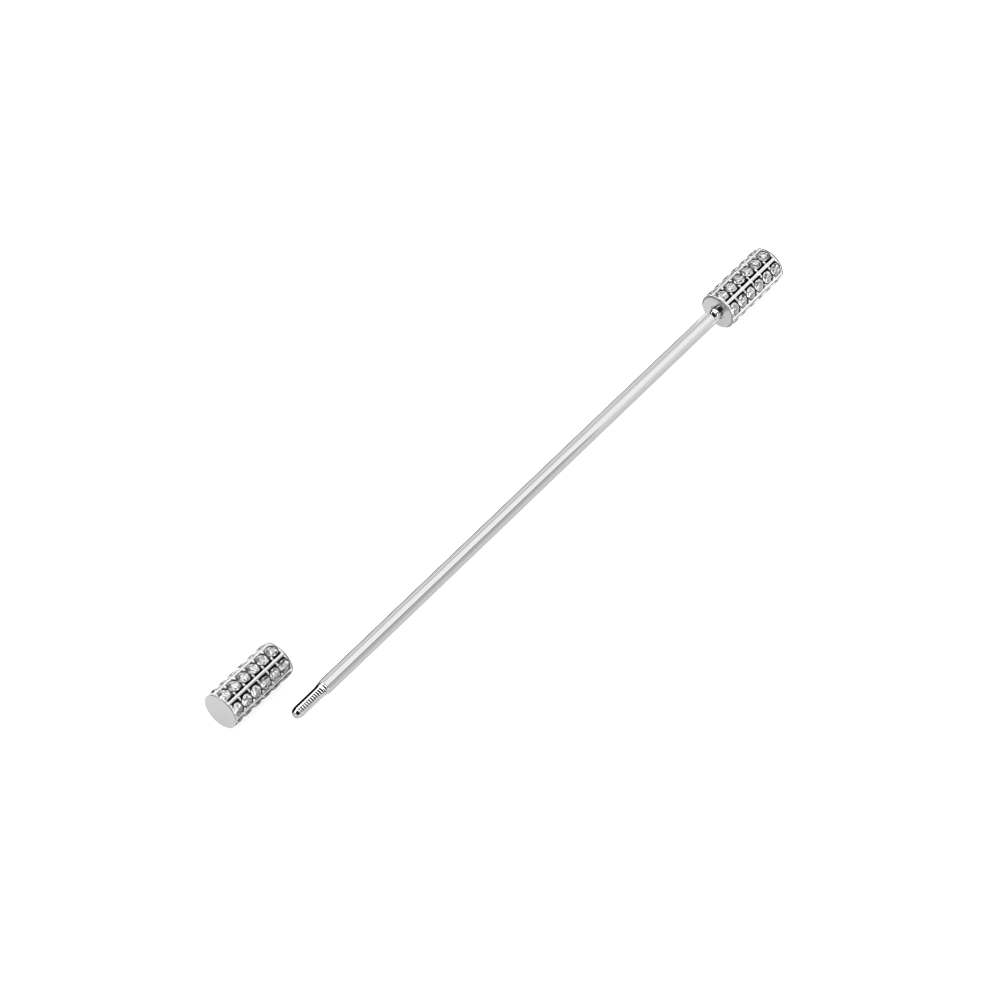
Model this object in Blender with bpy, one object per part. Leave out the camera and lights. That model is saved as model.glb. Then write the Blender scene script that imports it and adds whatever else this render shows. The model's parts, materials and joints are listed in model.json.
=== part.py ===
"""A barbell lapel pin. A jewelled barrel is fixed to one end of a slim shaft. Its twin is a cap
that screws on the other end, and here it is taken off and lies beside the threaded tip.

Lengths are in metres and +Z is up. The pin lies on its stones and on the shaft's shoulder, as
it does on a table, with the shaft along +X and the middle of the whole footprint at the origin.
"""

import math

import bmesh
import bpy
from mathutils import Matrix, Vector

MM = 0.001

# Stones
STONE_DIAMETER = 0.99 * MM
STONE_TABLE_DIAMETER = 0.54 * MM
STONE_CROWN = 0.155 * MM
STONE_GIRDLE = 0.02 * MM
STONE_PAVILION = 0.43 * MM
STONE_GAP = 0.045 * MM
STONES_IN_ROW = 6

# Setting of one barrel
ROWS = 6
RIB_WIDTH = 0.23 * MM
RIB_HEIGHT = 0.154 * MM
RIB_CROWN = 0.06 * MM
RIB_TO_STONE = 0.145 * MM
CHANNEL_DEPTH = 0.225 * MM
CULET_WALL = 0.085 * MM
SEAT_GAP = 0.025 * MM
END_MARGIN = 0.05 * MM
BEAD_DIAMETER = 0.28 * MM
END_BEAD_DIAMETER = 0.2 * MM
BEAD_RISE = 0.11 * MM
BEAD_TO_STONE = 0.05 * MM
BEAD_ROOT = 0.08 * MM

# End plates and bushes
PLATE_THICKNESS = 0.08 * MM
PLATE_BELOW_TABLE = 0.03 * MM
PLATE_EDGE_WIDTH = 0.16 * MM
PLATE_EDGE_DROP = 0.06 * MM
SPIGOT_LENGTH = 0.5 * MM
SPIGOT_CHAMFER = 0.08 * MM
FIT_GAP = 0.02 * MM

# Shaft
SHAFT_DIAMETER = 1.2 * MM
SHAFT_LENGTH = 46.8 * MM
SHAFT_END_ROUNDING = 0.12 * MM
THREAD_DIAMETER = 1.0 * MM
THREAD_LENGTH = 3.3 * MM
THREAD_GAP = 0.02 * MM
BUSH_PAST_TIP = 0.16 * MM
TIP_DIAMETER = 0.2 * MM
TIP_ROUNDING = 0.46 * MM
RUNOUT_LENGTH = 0.36 * MM
LAND_DIAMETER = 1.13 * MM
LAND_LENGTH = 0.09 * MM
NECK_DIAMETER = 0.72 * MM
NECK_LENGTH = 0.3 * MM
BOSS_DIAMETER = 0.94 * MM
BOSS_LENGTH = 0.55 * MM
BOSS_CHAMFER = 0.05 * MM
BOSS_GROOVE_DEPTH = 0.04 * MM
BOSS_GROOVE_PAST_SHAFT = 0.02 * MM
STUD_LENGTH = 2.4 * MM

# Where the cap lies: beside the shaft, with its open end just past the shaft's shoulder
CAP_BESIDE = 3.9 * MM
CAP_OPEN_END_BEHIND_SHOULDER = 0.49 * MM

# How finely round forms are faceted
TURNED_SIDES = 28
STONE_SIDES = 8
BEAD_SIDES = 6
ROUNDING_STEPS = 3
RIB_CROWN_STEPS = 4
MERGE_DISTANCE = 0.0001 * MM

# Edges that bend by more than this stay sharp
SHARP_TURNED = math.radians(40)
SHARP_SETTING = math.radians(30)
SHARP_STONE = math.radians(5)

# Rows of stones, by the angle of the row from straight up, towards the front
ROW_NAMES = ["top", "front_upper", "front_lower", "bottom", "back_lower", "back_upper"]
JOINED_ROWS = ["bottom", "back_lower"]

# Sizes that follow from those above
stone_radius = STONE_DIAMETER / 2
stone_pitch = STONE_DIAMETER + STONE_GAP
row_angle = math.tau / ROWS
half_row_angle = row_angle / 2
rib_half_width = RIB_WIDTH / 2

girdle_height = (
    stone_radius + RIB_TO_STONE + rib_half_width / math.cos(half_row_angle)
) / math.tan(half_row_angle)
table_height = girdle_height + STONE_GIRDLE / 2 + STONE_CROWN
culet_height = girdle_height - STONE_GIRDLE / 2 - STONE_PAVILION
floor_height = girdle_height - CHANNEL_DEPTH
rib_top = floor_height / math.cos(half_row_angle) + RIB_HEIGHT
bore_radius = culet_height - SEAT_GAP - CULET_WALL

plate_radius = table_height - PLATE_BELOW_TABLE
spigot_radius = bore_radius - FIT_GAP
setting_start = PLATE_THICKNESS + FIT_GAP
first_stone = PLATE_THICKNESS + END_MARGIN + stone_radius
barrel_length = 2 * first_stone + (STONES_IN_ROW - 1) * stone_pitch
setting_end = barrel_length - setting_start

shaft_radius = SHAFT_DIAMETER / 2
thread_radius = THREAD_DIAMETER / 2
land_radius = LAND_DIAMETER / 2
neck_radius = NECK_DIAMETER / 2
boss_groove_radius = shaft_radius + BOSS_GROOVE_PAST_SHAFT
shaft_body_end = SHAFT_LENGTH - BOSS_LENGTH - NECK_LENGTH

# The pin touches the table at the shaft's shoulder and at the fixed barrel's first stone
stone_contact = SHAFT_LENGTH + first_stone - STONE_TABLE_DIAMETER / 2
pin_incline = math.atan((table_height - shaft_radius) / stone_contact)


def clear_scene():
    for thing in list(bpy.data.objects):
        bpy.data.objects.remove(thing, do_unlink=True)


def principled(name, colour, metallic, roughness, transmission=0.0, ior=1.5):
    """A plain surface with one colour and one finish."""
    material = bpy.data.materials.new(name)
    material.use_nodes = True
    shader = material.node_tree.nodes["Principled BSDF"]
    shader.inputs["Base Color"].default_value = (*colour, 1.0)
    shader.inputs["Metallic"].default_value = metallic
    shader.inputs["Roughness"].default_value = roughness
    shader.inputs["Transmission Weight"].default_value = transmission
    shader.inputs["IOR"].default_value = ior
    return material


def empty(name, parent=None, location=(0, 0, 0), rotation=(0, 0, 0)):
    frame = bpy.data.objects.new(name, None)
    frame.empty_display_size = SHAFT_DIAMETER
    frame.location = location
    frame.rotation_euler = rotation
    frame.parent = parent
    bpy.context.collection.objects.link(frame)
    return frame


def new_object(name, mesh, parent=None, location=(0, 0, 0), rotation=(0, 0, 0)):
    piece = bpy.data.objects.new(name, mesh)
    piece.location = location
    piece.rotation_euler = rotation
    piece.parent = parent
    bpy.context.collection.objects.link(piece)
    return piece


def finished_mesh(name, shape, material, sharp_angle):
    """Turns a bmesh into a mesh that faces out, smooth except over sharp edges."""
    bmesh.ops.recalc_face_normals(shape, faces=shape.faces)
    mesh = bpy.data.meshes.new(name)
    shape.to_mesh(mesh)
    shape.free()
    mesh.shade_smooth()
    mesh.set_sharp_from_angle(angle=sharp_angle)
    mesh.materials.append(material)
    return mesh


def turned_mesh(name, profile, material):
    """Spins a profile of (along X, radius) points round the X axis."""
    shape = bmesh.new()
    points = [shape.verts.new((x, 0, radius)) for x, radius in profile]
    closed = profile[0][1] > 0
    ring = points + points[:1] if closed else points
    edges = [shape.edges.new(pair) for pair in zip(ring, ring[1:])]
    bmesh.ops.spin(
        shape,
        geom=points + edges,
        cent=(0, 0, 0),
        axis=(1, 0, 0),
        angle=math.tau,
        steps=TURNED_SIDES,
        use_merge=True,
    )
    bmesh.ops.remove_doubles(shape, verts=shape.verts, dist=MERGE_DISTANCE)
    return finished_mesh(name, shape, material, SHARP_TURNED)


def rounded_corner(x, radius, along, inward):
    """Quarter-round points from the flat at x out to the full radius, along further down X."""
    turns = [math.pi / 2 * step / ROUNDING_STEPS for step in range(ROUNDING_STEPS + 1)]
    return [
        (x + along * (1 - math.cos(turn)), radius - inward * (1 - math.sin(turn)))
        for turn in turns
    ]


def boolean(target, cutter, operation):
    """Joins or cuts with the exact solver, keeps the result and drops the cutter."""
    step = target.modifiers.new(operation.lower(), "BOOLEAN")
    step.operation = operation
    step.solver = "EXACT"
    step.object = cutter
    bpy.context.view_layer.update()
    graph = bpy.context.evaluated_depsgraph_get()
    result = bpy.data.meshes.new_from_object(target.evaluated_get(graph))
    target.modifiers.remove(step)
    target.data = result
    bpy.data.objects.remove(cutter, do_unlink=True)


def cutter_object(name, shape):
    bmesh.ops.recalc_face_normals(shape, faces=shape.faces)
    mesh = bpy.data.meshes.new(name)
    shape.to_mesh(mesh)
    shape.free()
    cutter = new_object(name, mesh)
    cutter.display_type = "WIRE"
    cutter.hide_render = True
    return cutter


def add_rings(shape, rings, sides, matrix):
    """Adds a closed round solid through (height, radius) rings. A radius of 0 is a point."""
    loops = []
    for height, radius in rings:
        if radius == 0:
            loops.append([shape.verts.new(matrix @ Vector((0, 0, height)))])
            continue
        turns = [math.tau * side / sides for side in range(sides)]
        corners = [Vector((radius * math.cos(t), radius * math.sin(t), height)) for t in turns]
        loops.append([shape.verts.new(matrix @ corner) for corner in corners])
    for lower, upper in zip(loops, loops[1:]):
        for side in range(sides):
            after = (side + 1) % sides
            if len(lower) == 1:
                shape.faces.new((lower[0], upper[after], upper[side]))
            elif len(upper) == 1:
                shape.faces.new((lower[side], lower[after], upper[0]))
            else:
                shape.faces.new((lower[side], lower[after], upper[after], upper[side]))
    for loop in (loops[0], loops[-1]):
        if len(loop) > 1:
            shape.faces.new(loop)


def row_frame(row, x=0.0):
    """The frame of a row: its Z points out through the row, its origin is on the barrel's axis."""
    return Matrix.Translation((x, 0, 0)) @ Matrix.Rotation(row * row_angle, 4, "X")


def stone_places():
    return [first_stone + place * stone_pitch for place in range(STONES_IN_ROW)]


def add_stone(shape, matrix):
    """A single-cut round stone: table, crown, girdle and pavilion. Its girdle is at height 0."""
    half_girdle = STONE_GIRDLE / 2
    rings = [
        (-half_girdle - STONE_PAVILION, 0),
        (-half_girdle, stone_radius),
        (half_girdle, stone_radius),
        (half_girdle + STONE_CROWN, STONE_TABLE_DIAMETER / 2),
    ]
    add_rings(shape, rings, STONE_SIDES, matrix)


def ribbed_bar():
    """The setting's outline, a six-sided bar with a rib along each corner, drawn out along X."""
    foot = floor_height / math.cos(half_row_angle) - rib_half_width * math.tan(half_row_angle)
    outline = []
    for row in range(ROWS):
        frame = Matrix.Rotation(row * row_angle + half_row_angle, 4, "X")
        outline.append(frame @ Vector((0, rib_half_width, foot)))
        for step in range(RIB_CROWN_STEPS + 1):
            turn = math.pi * step / RIB_CROWN_STEPS
            across = rib_half_width * math.cos(turn)
            height = rib_top - RIB_CROWN + RIB_CROWN * math.sin(turn)
            outline.append(frame @ Vector((0, across, height)))
        outline.append(frame @ Vector((0, -rib_half_width, foot)))
    shape = bmesh.new()
    end = shape.faces.new([shape.verts.new((setting_start, p.y, p.z)) for p in outline])
    drawn = bmesh.ops.extrude_face_region(shape, geom=[end])
    far_end = [part for part in drawn["geom"] if isinstance(part, bmesh.types.BMVert)]
    bmesh.ops.translate(shape, verts=far_end, vec=(setting_end - setting_start, 0, 0))
    return shape


def add_bead(shape, row, x, across, radius):
    """A bead prong: a post out of the channel floor with a domed tip over the stones' edges."""
    tip = girdle_height + BEAD_RISE
    rings = [
        (floor_height - BEAD_ROOT, radius),
        (tip - radius / 2, radius),
        (tip, radius / 2),
    ]
    add_rings(shape, rings, BEAD_SIDES, row_frame(row, x) @ Matrix.Translation((0, across, 0)))


def bead_across(along, radius):
    """How far a bead stands from the row's middle, to clear a stone that is this far along."""
    reach = stone_radius + BEAD_TO_STONE + radius
    return math.sqrt(reach**2 - along**2)


def bead_prongs():
    """Shared beads between neighbouring stones, and a smaller pair at each end of a row."""
    shape = bmesh.new()
    bead = BEAD_DIAMETER / 2
    end_bead = END_BEAD_DIAMETER / 2
    places = stone_places()
    end_x = setting_start + end_bead + FIT_GAP
    shared = [(x + stone_pitch / 2, stone_pitch / 2, bead) for x in places[:-1]]
    ends = [(x, first_stone - end_x, end_bead) for x in (end_x, barrel_length - end_x)]
    for row in range(ROWS):
        for x, along, radius in shared + ends:
            across = bead_across(along, radius)
            add_bead(shape, row, x, across, radius)
            add_bead(shape, row, x, -across, radius)
    return shape


def stone_seats():
    """Cone-shaped seats in the channel floors, a hair wider than the stones that sit in them."""
    shape = bmesh.new()
    slope = stone_radius / STONE_PAVILION
    top = floor_height + SEAT_GAP
    bottom = culet_height - SEAT_GAP
    for row, name in enumerate(ROW_NAMES):
        if name in JOINED_ROWS:
            continue
        for x in stone_places():
            rings = [(bottom, 0), (top, (top - bottom) * slope)]
            add_rings(shape, rings, STONE_SIDES, row_frame(row, x))
    return shape


def joined_stones():
    """The stones of the two rows that face down and away, which are one piece with the setting."""
    shape = bmesh.new()
    lift = Matrix.Translation((0, 0, girdle_height))
    for row, name in enumerate(ROW_NAMES):
        if name in JOINED_ROWS:
            for x in stone_places():
                add_stone(shape, row_frame(row, x) @ lift)
    return shape


def bore_core():
    shape = bmesh.new()
    sideways = Matrix.Rotation(math.pi / 2, 4, "Y")
    rings = [(0, bore_radius), (barrel_length, bore_radius)]
    add_rings(shape, rings, TURNED_SIDES, sideways)
    return shape


def setting_mesh(material):
    """The pave setting of a barrel: ribs, channels, seats, bead prongs and a bore."""
    setting = cutter_object("setting_work", ribbed_bar())
    boolean(setting, cutter_object("beads", bead_prongs()), "UNION")
    boolean(setting, cutter_object("bore", bore_core()), "DIFFERENCE")
    boolean(setting, cutter_object("seats", stone_seats()), "DIFFERENCE")
    boolean(setting, cutter_object("fixed_stones", joined_stones()), "UNION")
    mesh = setting.data
    mesh.name = "setting"
    bpy.data.objects.remove(setting, do_unlink=True)
    mesh.shade_smooth()
    mesh.set_sharp_from_angle(angle=SHARP_SETTING)
    mesh.materials.clear()
    mesh.materials.append(material)
    return mesh


def plate_edge():
    """The rounded rim of an end plate, from its flat face out to its full radius and back."""
    rim = rounded_corner(0, plate_radius, PLATE_EDGE_DROP, PLATE_EDGE_WIDTH)
    return rim + [(PLATE_THICKNESS, plate_radius)]


def end_plate_profile():
    """A flat disc that closes the barrel, with a spigot that centres it in the bore."""
    depth = PLATE_THICKNESS + SPIGOT_LENGTH
    spigot = [
        (PLATE_THICKNESS, spigot_radius),
        (depth - SPIGOT_CHAMFER, spigot_radius),
        (depth, spigot_radius - SPIGOT_CHAMFER),
        (depth, 0),
    ]
    return [(0, 0)] + plate_edge() + spigot


def sleeve_profile(length):
    """The outside of a bush's sleeve, from the back of its flange to its inner end."""
    return [
        (PLATE_THICKNESS, spigot_radius),
        (length - SPIGOT_CHAMFER, spigot_radius),
        (length, spigot_radius - SPIGOT_CHAMFER),
    ]


def head_bush_profile():
    """The fixed barrel's flat face, with a grooved boss outside and a sleeve inside.

    The groove round the boss's foot reaches past the shaft, so all of the flat ring outside it
    is clear in front.
    """
    bore = neck_radius + FIT_GAP
    boss = BOSS_DIAMETER / 2
    length = STUD_LENGTH + FIT_GAP
    nose = [
        (-BOSS_LENGTH, bore),
        (-BOSS_LENGTH, boss - BOSS_CHAMFER),
        (-BOSS_LENGTH + BOSS_CHAMFER, boss),
        (BOSS_GROOVE_DEPTH, boss),
        (BOSS_GROOVE_DEPTH, boss_groove_radius),
        (0, boss_groove_radius),
    ]
    return nose + plate_edge() + sleeve_profile(length) + [(length, bore)]


def cap_bush_profile():
    """The cap's open face and threaded sleeve. Its mouth takes the shaft's tapered run-out."""
    bore = thread_radius + THREAD_GAP
    length = THREAD_LENGTH + BUSH_PAST_TIP
    mouth = [
        (RUNOUT_LENGTH + LAND_LENGTH, bore),
        (LAND_LENGTH, land_radius + THREAD_GAP),
        (0, land_radius + THREAD_GAP),
    ]
    return mouth + plate_edge() + sleeve_profile(length) + [(length, bore)]


def shaft_profile():
    """From the threaded tip at -X, past the shoulder at 0, to the stud in the fixed barrel."""
    tip = rounded_corner(
        -THREAD_LENGTH, thread_radius, TIP_ROUNDING, thread_radius - TIP_DIAMETER / 2
    )
    shoulder = [
        (-LAND_LENGTH - RUNOUT_LENGTH, thread_radius),
        (-LAND_LENGTH, land_radius),
        (0, land_radius),
        (0, shaft_radius),
    ]
    rounding = rounded_corner(0, shaft_radius, SHAFT_END_ROUNDING, SHAFT_END_ROUNDING)
    end = [(shaft_body_end - x, radius) for x, radius in reversed(rounding)]
    stud = [
        (shaft_body_end, neck_radius),
        (SHAFT_LENGTH + STUD_LENGTH, neck_radius),
        (SHAFT_LENGTH + STUD_LENGTH, 0),
    ]
    return [(-THREAD_LENGTH, 0)] + tip + shoulder + end + stud


def stone_mesh(material):
    shape = bmesh.new()
    add_stone(shape, Matrix.Identity(4))
    return finished_mesh("stone", shape, material, SHARP_STONE)


def stand_stones(prefix, axis, mesh):
    """One object for each stone of the rows that aren't joined to the setting."""
    pieces = []
    for row, name in enumerate(ROW_NAMES):
        if name in JOINED_ROWS:
            continue
        turn = row * row_angle
        out = Vector((0, -math.sin(turn), math.cos(turn))) * girdle_height
        for number, x in enumerate(stone_places(), start=1):
            place = (x, out.y, out.z)
            stone = new_object(f"{prefix}_stone_{name}_{number}", mesh, axis, place, (turn, 0, 0))
            pieces.append(stone)
    return pieces


def flipped(name, mesh, axis):
    """A turned piece that closes the barrel's far end, so it faces +X."""
    return new_object(name, mesh, axis, (barrel_length, 0, 0), (0, 0, math.pi))


def centre_on_table(root, pieces):
    """Brings the middle of the footprint to the origin and the lowest point to height 0."""
    bpy.context.view_layer.update()
    points = [piece.matrix_world @ v.co for piece in pieces for v in piece.data.vertices]
    low = Vector([min(point[axis] for point in points) for axis in range(3)])
    high = Vector([max(point[axis] for point in points) for axis in range(3)])
    root.location = (-(low.x + high.x) / 2, -(low.y + high.y) / 2, -low.z)
    bpy.context.view_layer.update()
    size = (high - low) / MM
    print(f"overall size {size.x:.3f} x {size.y:.3f} x {size.z:.3f} mm")


def build():
    clear_scene()
    shaft_metal = principled("polished_white_gold", (0.91, 0.91, 0.92), 1.0, 0.06)
    setting_metal = principled("cut_white_gold", (0.86, 0.86, 0.87), 1.0, 0.12)
    face_metal = principled("flat_white_gold", (0.89, 0.89, 0.9), 1.0, 0.09)
    bush_metal = principled("bush_white_gold", (0.84, 0.84, 0.85), 1.0, 0.16)
    crystal = principled("clear_stone", (0.97, 0.98, 1.0), 0.0, 0.0, 1.0, 2.3)

    table = empty("table_origin")
    pin_height = shaft_radius * math.cos(pin_incline)
    pin_axis = empty("pin_axis", table, (0, 0, pin_height), (0, -pin_incline, 0))
    head_axis = empty("head_axis", pin_axis, (SHAFT_LENGTH, 0, 0))
    cap_x = -CAP_OPEN_END_BEHIND_SHOULDER - barrel_length
    cap_axis = empty("cap_axis", table, (cap_x, CAP_BESIDE, table_height))

    setting = setting_mesh(setting_metal)
    end_plate = turned_mesh("end_plate", end_plate_profile(), face_metal)
    head_bush = turned_mesh("head_bush", head_bush_profile(), face_metal)
    cap_bush = turned_mesh("cap_bush", cap_bush_profile(), bush_metal)
    stone = stone_mesh(crystal)

    pieces = [
        new_object("shaft", turned_mesh("shaft", shaft_profile(), shaft_metal), pin_axis),
        new_object("head_setting", setting, head_axis),
        new_object("head_bush", head_bush, head_axis),
        flipped("head_end_plate", end_plate, head_axis),
        new_object("cap_setting", setting, cap_axis),
        new_object("cap_end_plate", end_plate, cap_axis),
        flipped("cap_bush", cap_bush, cap_axis),
    ]
    pieces += stand_stones("head", head_axis, stone)
    pieces += stand_stones("cap", cap_axis, stone)
    centre_on_table(table, pieces)
    return pieces


build()
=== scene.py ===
# %% [markdown]
# A jewelled barbell pin has a slim white gold shaft with a barrel of small stones at each end.
# One barrel is soldered on. Its twin is a screw cap, taken off here, that shows its closed face.
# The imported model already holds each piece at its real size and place, so it is loaded as a
# fixed frame. Finer surfaces are then laid over it: turned metal, a cut thread and set stones.

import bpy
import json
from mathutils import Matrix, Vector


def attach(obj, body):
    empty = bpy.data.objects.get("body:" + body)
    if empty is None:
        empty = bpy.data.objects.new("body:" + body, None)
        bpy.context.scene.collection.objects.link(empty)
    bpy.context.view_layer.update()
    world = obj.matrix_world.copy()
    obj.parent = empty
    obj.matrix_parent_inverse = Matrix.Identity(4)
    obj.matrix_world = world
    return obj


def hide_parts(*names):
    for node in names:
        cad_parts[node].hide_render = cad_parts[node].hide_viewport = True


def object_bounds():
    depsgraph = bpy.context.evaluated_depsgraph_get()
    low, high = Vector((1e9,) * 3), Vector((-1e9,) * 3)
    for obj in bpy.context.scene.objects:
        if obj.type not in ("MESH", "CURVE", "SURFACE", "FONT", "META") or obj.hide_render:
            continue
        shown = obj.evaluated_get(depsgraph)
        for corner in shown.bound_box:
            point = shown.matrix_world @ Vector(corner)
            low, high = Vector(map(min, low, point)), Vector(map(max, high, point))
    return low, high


MM = 0.001

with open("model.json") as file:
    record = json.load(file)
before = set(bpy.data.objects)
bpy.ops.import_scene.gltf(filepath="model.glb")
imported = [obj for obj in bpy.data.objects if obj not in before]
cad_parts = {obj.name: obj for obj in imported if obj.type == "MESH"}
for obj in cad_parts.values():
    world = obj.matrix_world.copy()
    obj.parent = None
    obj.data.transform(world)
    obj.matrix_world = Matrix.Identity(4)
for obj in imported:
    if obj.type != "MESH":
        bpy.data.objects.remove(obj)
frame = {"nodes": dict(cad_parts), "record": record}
cad_low, cad_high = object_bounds()
print("packed size in mm", [round(side / MM, 3) for side in cad_high - cad_low])

# %% [markdown]
# Both barrels and the shaft are turned pieces, so each is easiest to make lying along X and then
# set in place by one matrix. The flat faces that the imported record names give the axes, and the
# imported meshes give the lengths, so nothing here has to be fitted by eye.

# %% Find the two axes
import json
import math

import bmesh
import bpy
from mathutils import Matrix, Vector

mounts = {mount["name"]: mount for mount in frame["record"]["mounts"]}


def reach(node, origin, direction):
    """How far a node's nearest and furthest points lie from a point, along a direction."""
    steps = [(vertex.co - origin).dot(direction) for vertex in frame["nodes"][node].data.vertices]
    return min(steps), max(steps)


def axis_frame(origin, direction):
    """A frame with X along an axis and Z as near to straight up as it can be."""
    x_axis = direction.normalized()
    y_axis = Vector((0, 0, 1)).cross(x_axis).normalized()
    turn = Matrix((x_axis, y_axis, x_axis.cross(y_axis))).transposed()
    return Matrix.Translation(origin) @ turn.to_4x4()


cap_face = Vector(mounts["cap_closed_face"]["pos_m"])
cap_direction = -Vector(mounts["cap_closed_face"]["axis"])
head_face = Vector(mounts["head_far_face"]["pos_m"])
pin_direction = Vector(mounts["head_far_face"]["axis"]).normalized()

barrel_length = reach("cap_bush", cap_face, cap_direction)[1]
head_place = axis_frame(head_face - pin_direction * barrel_length, pin_direction)
cap_place = axis_frame(cap_face, cap_direction)
tip_to_head = -reach("shaft", head_place.translation, pin_direction)[0]
print("barrel length", round(barrel_length / MM, 3), "tip to barrel", round(tip_to_head / MM, 3))

# %% [markdown]
# A goldsmith lays out a barrel from its stones: one millimetre rounds in six rows of six, with a
# rib between each two rows. The width of the ribs sets how far the stones stand from the axis,
# and the channels, the bore and the plates follow from that height.

# %% Lay out a barrel
ROWS = 6
STONES_IN_ROW = 6
STONE_RADIUS = 0.495 * MM
STONE_CROWN = 0.155 * MM
STONE_GIRDLE = 0.02 * MM
STONE_PAVILION = 0.43 * MM
STONE_GAP = 0.045 * MM
RIB_HALF_WIDTH = 0.125 * MM
RIB_TO_STONE = 0.1335 * MM
RIB_HEIGHT = 0.154 * MM
CHANNEL_DEPTH = 0.225 * MM
SEAT_GAP = 0.012 * MM
CULET_WALL = 0.098 * MM
PLATE_THICKNESS = 0.08 * MM
PLATE_BELOW_TABLE = 0.03 * MM
END_MARGIN = 0.05 * MM
FIT_GAP = 0.02 * MM

row_angle = math.tau / ROWS
half_row = row_angle / 2
stone_pitch = 2 * STONE_RADIUS + STONE_GAP
girdle_height = STONE_RADIUS + RIB_TO_STONE + RIB_HALF_WIDTH / math.cos(half_row)
girdle_height /= math.tan(half_row)
table_height = girdle_height + STONE_GIRDLE / 2 + STONE_CROWN
culet_height = girdle_height - STONE_GIRDLE / 2 - STONE_PAVILION
floor_height = girdle_height - CHANNEL_DEPTH
rib_top = floor_height / math.cos(half_row) + RIB_HEIGHT
bore_radius = culet_height - SEAT_GAP - CULET_WALL
plate_radius = table_height - PLATE_BELOW_TABLE
spigot_radius = bore_radius - FIT_GAP
setting_start = PLATE_THICKNESS + FIT_GAP
first_stone = PLATE_THICKNESS + END_MARGIN + STONE_RADIUS
stone_places = [first_stone + place * stone_pitch for place in range(STONES_IN_ROW)]
print("girdle", round(girdle_height / MM, 4), "table", round(table_height / MM, 4))
print("rows end at", round((stone_places[-1] + first_stone) / MM, 3), "of", barrel_length / MM)

# %% [markdown]
# The photograph looks down on the pin from beyond its tip, with a long lens, so the far barrel is
# hardly smaller than the near cap. A camera far off with a narrow view gives that flat look.
# It is aimed by a heading and a height, and its distance sets the size of the pin in the frame.

# %% Place the camera
CAMERA_TARGET = Vector((-0.000484, 0.000425, 0.0))
CAMERA_ELEVATION = math.radians(48.37)
CAMERA_HEADING = math.radians(51.26)
CAMERA_DISTANCE = 0.4218
CAMERA_LENS_MM = 206.15
CAMERA_SENSOR_MM = 36
CAMERA_NEAREST = 0.01


def new_object(name, data):
    """Puts a mesh, a camera or a lamp in the scene."""
    item = bpy.data.objects.new(name, data)
    bpy.context.scene.collection.objects.link(item)
    return item


def aim(item, direction):
    """Points a camera or a lamp along a direction."""
    item.rotation_mode = "QUATERNION"
    item.rotation_quaternion = direction.to_track_quat("-Z", "Y")


toward_camera = Vector(
    (
        -math.cos(CAMERA_ELEVATION) * math.sin(CAMERA_HEADING),
        -math.cos(CAMERA_ELEVATION) * math.cos(CAMERA_HEADING),
        math.sin(CAMERA_ELEVATION),
    )
)
camera_data = bpy.data.cameras.new("long_lens")
camera_data.lens = CAMERA_LENS_MM
camera_data.sensor_width = CAMERA_SENSOR_MM
camera_data.clip_start = CAMERA_NEAREST
camera = new_object("camera", camera_data)
camera.location = CAMERA_TARGET + toward_camera * CAMERA_DISTANCE
aim(camera, -toward_camera)
bpy.context.scene.camera = camera
print("camera at", [round(c, 4) for c in camera.location])

# %% [markdown]
# Polished metal has no look of its own: it shows the room. What makes it look real is that it is
# never quite flat. Each metal here has a soft waviness from the polishing wheel, made by a bump,
# and faint changes of gloss. The noise is in the piece's own space, so it moves with the piece.
# Shade in each groove and hollow is painted: how much shade a spot gets is worked out when its
# mesh is made and kept there as an attribute, and the metal's colour is painted darker with it.

# %% Make a white gold
SHADE_LAYER = "painted_groove_shade"
# Painted shade: the near-black colour put where a groove or hollow lies in shade.
GROOVE_SHADE_COLOUR = (0.012, 0.012, 0.013, 1.0)
FINE_TO_WIDE_RIPPLES = 9
WIDE_DETAIL = 1.0
FINE_DETAIL = 3.0
MICRON = 1e-6


def new_material(name):
    material = bpy.data.materials.new(name)
    material.use_nodes = True
    return material, material.node_tree.nodes, material.node_tree.links


def noise(nodes, links, coordinates, scale, detail, stretch=1.0):
    """A noise pattern with this many ripples to the metre, drawn out along X by a stretch."""
    mapping = nodes.new("ShaderNodeMapping")
    mapping.inputs["Scale"].default_value = (scale / stretch, scale, scale)
    links.new(coordinates, mapping.inputs["Vector"])
    pattern = nodes.new("ShaderNodeTexNoise")
    pattern.inputs["Scale"].default_value = 1.0
    pattern.inputs["Detail"].default_value = detail
    links.new(mapping.outputs["Vector"], pattern.inputs["Vector"])
    return pattern.outputs["Fac"]


def colour_mix(nodes, links, factor, first, second):
    """Mixes two colours. Each is a plain colour or the output of another node."""
    mix = nodes.new("ShaderNodeMix")
    mix.data_type = "RGBA"
    links.new(factor, mix.inputs["Factor"])
    for colour, socket in ((first, mix.inputs["A"]), (second, mix.inputs["B"])):
        if isinstance(colour, bpy.types.NodeSocket):
            links.new(colour, socket)
        else:
            socket.default_value = colour
    return mix.outputs["Result"]


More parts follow.
